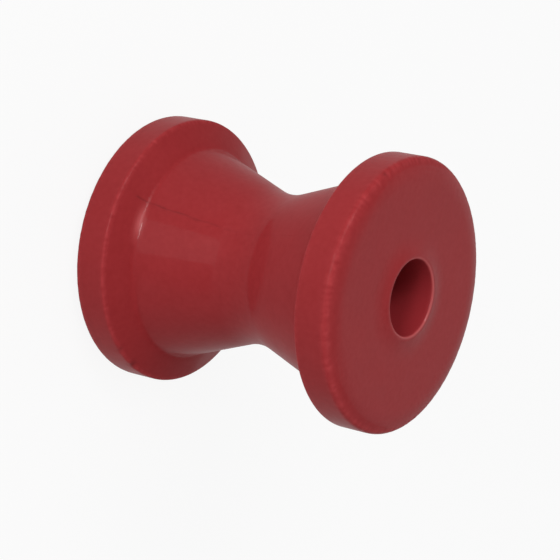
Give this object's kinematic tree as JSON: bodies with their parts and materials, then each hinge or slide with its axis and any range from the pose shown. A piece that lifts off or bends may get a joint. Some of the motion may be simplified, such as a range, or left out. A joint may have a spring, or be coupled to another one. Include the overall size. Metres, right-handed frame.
{
  "type": "boat trailer roller",
  "caption": "Soft one-piece keel roller for a boat trailer: waisted barrel between two flanges, with a plain bore for its pin.",
  "frame": {"origin": "on the bore's axis, at the lower hub face that the roller stands on", "axes": "+Z along the bore axis, up through the other end; X and Y are alike, because the roller is turned about Z"},
  "size_m": [0.0656, 0.0656, 0.0762],
  "materials": {
    "red_polyurethane": "satin, fine moulded grain"
  },
  "bodies": {
    "root": {"roller": "red_polyurethane"}
  },
  "joints": []
}
